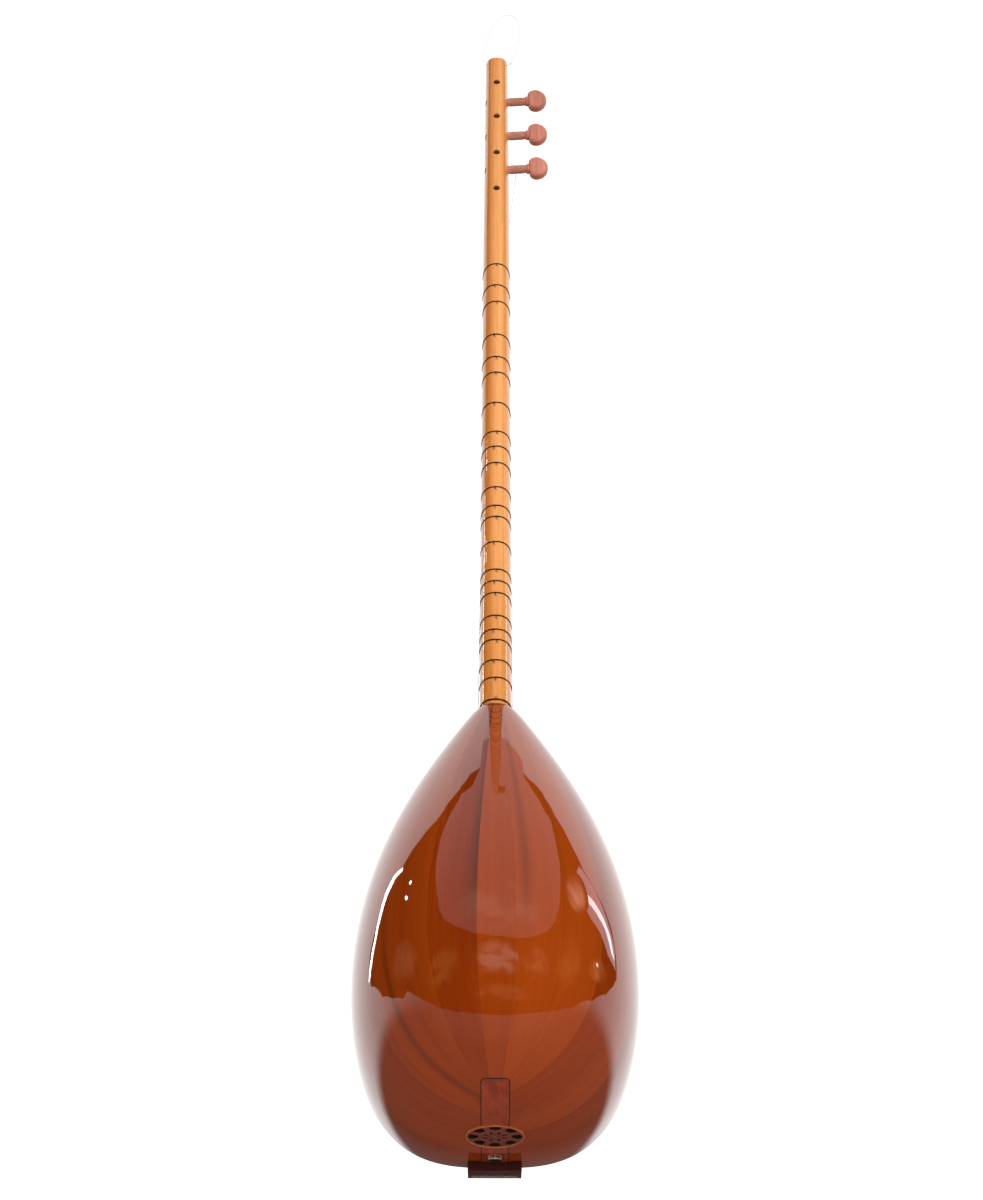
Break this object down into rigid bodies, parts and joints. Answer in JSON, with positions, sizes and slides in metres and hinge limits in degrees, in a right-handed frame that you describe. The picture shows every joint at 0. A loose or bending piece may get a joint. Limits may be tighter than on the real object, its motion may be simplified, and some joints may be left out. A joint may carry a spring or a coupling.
{
  "type": "baglama saz",
  "caption": "Long-neck lute with a deep stave-built bowl, tied movable frets, turning friction pegs, courses of steel strings, a tail sound hole and an output jack.",
  "frame": {"origin": "on the flat bottom face of the tailpiece, below the centre of the soundboard's tail edge, in the plane of the soundboard's face", "axes": "+Z along the neck towards the head, -Y out of the soundboard's face, +Y towards the back of the bowl"},
  "size_m": [0.2398, 0.2648, 1.2971],
  "materials": {
    "bowl_wood": "high gloss lacquer over glued mahogany-coloured staves",
    "neck_wood": "high gloss amber lacquer with straight grain",
    "board_wood": "satin lacquer over fine straight spruce grain",
    "binding_wood": "gloss dark edging",
    "block_wood": "bare sanded wood",
    "cap_wood": "gloss dark plum-brown veneer",
    "tailpiece_wood": "polished near-black red hardwood",
    "bridge_wood": "bare fine-grained hardwood",
    "rosette_wood": "gloss reddish brown carved wood",
    "ring_wood": "gloss paler rim",
    "peg_wood": "matte reddish turned wood",
    "nut_bone": "polished bone white",
    "fret_thread": "dark nylon thread",
    "plated_metal": "bright nickel plating",
    "string_steel": "bright drawn steel wire",
    "pickup_brass": "thin brass disc"
  },
  "bodies": {
    "root": {"neck": "neck_wood", "nut": "nut_bone", "soundboard": "board_wood", "binding": "binding_wood", "bowl_staves": "bowl_wood", "neck_block": "block_wood", "tail_block": "block_wood", "tail_cap": "cap_wood", "tailpiece": "tailpiece_wood", "bridge": "bridge_wood", "rosette": "rosette_wood", "rosette_ring": "ring_wood", "jack_nut": "plated_metal", "jack_sleeve": "plated_metal", "pickup_disc": "pickup_brass", "hanging_loop": "string_steel", "string_1": "string_steel", "string_2": "string_steel", "string_3": "string_steel", "string_4": "string_steel", "string_5": "string_steel", "string_6": "string_steel", "string_7": "string_steel"},
    "peg_front_1": {"peg_front_1": "peg_wood", "winding_front_1": "string_steel"},
    "peg_front_2": {"peg_front_2": "peg_wood", "winding_front_2": "string_steel"},
    "peg_front_3": {"peg_front_3": "peg_wood", "winding_front_3": "string_steel"},
    "peg_front_4": {"peg_front_4": "peg_wood", "winding_front_4": "string_steel"},
    "peg_side_1": {"peg_side_1": "peg_wood", "winding_side_1": "string_steel"},
    "peg_side_2": {"peg_side_2": "peg_wood", "winding_side_2": "string_steel"},
    "peg_side_3": {"peg_side_3": "peg_wood", "winding_side_3": "string_steel"},
    "tied_fret_01": {"fret_01": "fret_thread"},
    "tied_fret_02": {"fret_02": "fret_thread"},
    "tied_fret_03": {"fret_03": "fret_thread"},
    "tied_fret_04": {"fret_04": "fret_thread"},
    "tied_fret_05": {"fret_05": "fret_thread"},
    "tied_fret_06": {"fret_06": "fret_thread"},
    "tied_fret_07": {"fret_07": "fret_thread"},
    "tied_fret_08": {"fret_08": "fret_thread"},
    "tied_fret_09": {"fret_09": "fret_thread"},
    "tied_fret_10": {"fret_10": "fret_thread"},
    "tied_fret_11": {"fret_11": "fret_thread"},
    "tied_fret_12": {"fret_12": "fret_thread"},
    "tied_fret_13": {"fret_13": "fret_thread"},
    "tied_fret_14": {"fret_14": "fret_thread"},
    "tied_fret_15": {"fret_15": "fret_thread"},
    "tied_fret_16": {"fret_16": "fret_thread"},
    "tied_fret_17": {"fret_17": "fret_thread"},
    "tied_fret_18": {"fret_18": "fret_thread"},
    "tied_fret_19": {"fret_19": "fret_thread"},
    "tied_fret_20": {"fret_20": "fret_thread"},
    "tied_fret_21": {"fret_21": "fret_thread"},
    "tied_fret_22": {"fret_22": "fret_thread"},
    "tied_fret_23": {"fret_23": "fret_thread"}
  },
  "joints": [
    {"name": "peg_front_1_turn", "type": "hinge", "parent": "root", "child": "peg_front_1", "pos_m": [0, 0, 1.0247], "axis": [0, -1, 0], "continuous": true},
    {"name": "peg_front_2_turn", "type": "hinge", "parent": "root", "child": "peg_front_2", "pos_m": [0, 0, 1.0761], "axis": [0, -1, 0], "continuous": true},
    {"name": "peg_front_3_turn", "type": "hinge", "parent": "root", "child": "peg_front_3", "pos_m": [0, 0, 1.1296], "axis": [0, -1, 0], "continuous": true},
    {"name": "peg_front_4_turn", "type": "hinge", "parent": "root", "child": "peg_front_4", "pos_m": [0, 0, 1.1807], "axis": [0, -1, 0], "continuous": true},
    {"name": "peg_side_1_turn", "type": "hinge", "parent": "root", "child": "peg_side_1", "pos_m": [-0.01354, 0.0125, 1.0622], "axis": [-0.9969, 0, 0.0785], "continuous": true},
    {"name": "peg_side_2_turn", "type": "hinge", "parent": "root", "child": "peg_side_2", "pos_m": [-0.01326, 0.0125, 1.1114], "axis": [-0.9969, 0, 0.0785], "continuous": true},
    {"name": "peg_side_3_turn", "type": "hinge", "parent": "root", "child": "peg_side_3", "pos_m": [-0.01297, 0.0125, 1.162], "axis": [-0.9969, 0, 0.0785], "continuous": true},
    {"name": "tied_fret_01_slide", "type": "slide", "parent": "root", "child": "tied_fret_01", "axis": [0, 0, 1], "range_m": [-0.003, 0.003]},
    {"name": "tied_fret_02_slide", "type": "slide", "parent": "root", "child": "tied_fret_02", "axis": [0, 0, 1], "range_m": [-0.003, 0.003]},
    {"name": "tied_fret_03_slide", "type": "slide", "parent": "root", "child": "tied_fret_03", "axis": [0, 0, 1], "range_m": [-0.003, 0.003]},
    {"name": "tied_fret_04_slide", "type": "slide", "parent": "root", "child": "tied_fret_04", "axis": [0, 0, 1], "range_m": [-0.003, 0.003]},
    {"name": "tied_fret_05_slide", "type": "slide", "parent": "root", "child": "tied_fret_05", "axis": [0, 0, 1], "range_m": [-0.003, 0.003]},
    {"name": "tied_fret_06_slide", "type": "slide", "parent": "root", "child": "tied_fret_06", "axis": [0, 0, 1], "range_m": [-0.003, 0.003]},
    {"name": "tied_fret_07_slide", "type": "slide", "parent": "root", "child": "tied_fret_07", "axis": [0, 0, 1], "range_m": [-0.003, 0.003]},
    {"name": "tied_fret_08_slide", "type": "slide", "parent": "root", "child": "tied_fret_08", "axis": [0, 0, 1], "range_m": [-0.003, 0.003]},
    {"name": "tied_fret_09_slide", "type": "slide", "parent": "root", "child": "tied_fret_09", "axis": [0, 0, 1], "range_m": [-0.003, 0.003]},
    {"name": "tied_fret_10_slide", "type": "slide", "parent": "root", "child": "tied_fret_10", "axis": [0, 0, 1], "range_m": [-0.003, 0.003]},
    {"name": "tied_fret_11_slide", "type": "slide", "parent": "root", "child": "tied_fret_11", "axis": [0, 0, 1], "range_m": [-0.003, 0.003]},
    {"name": "tied_fret_12_slide", "type": "slide", "parent": "root", "child": "tied_fret_12", "axis": [0, 0, 1], "range_m": [-0.003, 0.003]},
    {"name": "tied_fret_13_slide", "type": "slide", "parent": "root", "child": "tied_fret_13", "axis": [0, 0, 1], "range_m": [-0.003, 0.003]},
    {"name": "tied_fret_14_slide", "type": "slide", "parent": "root", "child": "tied_fret_14", "axis": [0, 0, 1], "range_m": [-0.003, 0.003]},
    {"name": "tied_fret_15_slide", "type": "slide", "parent": "root", "child": "tied_fret_15", "axis": [0, 0, 1], "range_m": [-0.003, 0.003]},
    {"name": "tied_fret_16_slide", "type": "slide", "parent": "root", "child": "tied_fret_16", "axis": [0, 0, 1], "range_m": [-0.003, 0.003]},
    {"name": "tied_fret_17_slide", "type": "slide", "parent": "root", "child": "tied_fret_17", "axis": [0, 0, 1], "range_m": [-0.003, 0.003]},
    {"name": "tied_fret_18_slide", "type": "slide", "parent": "root", "child": "tied_fret_18", "axis": [0, 0, 1], "range_m": [-0.003, 0.003]},
    {"name": "tied_fret_19_slide", "type": "slide", "parent": "root", "child": "tied_fret_19", "axis": [0, 0, 1], "range_m": [-0.003, 0.003]},
    {"name": "tied_fret_20_slide", "type": "slide", "parent": "root", "child": "tied_fret_20", "axis": [0, 0, 1], "range_m": [-0.003, 0.003]},
    {"name": "tied_fret_21_slide", "type": "slide", "parent": "root", "child": "tied_fret_21", "axis": [0, 0, 1], "range_m": [-0.003, 0.003]},
    {"name": "tied_fret_22_slide", "type": "slide", "parent": "root", "child": "tied_fret_22", "axis": [0, 0, 1], "range_m": [-0.003, 0.003]},
    {"name": "tied_fret_23_slide", "type": "slide", "parent": "root", "child": "tied_fret_23", "axis": [0, 0, 1], "range_m": [-0.002, 0.003]}
  ]
}
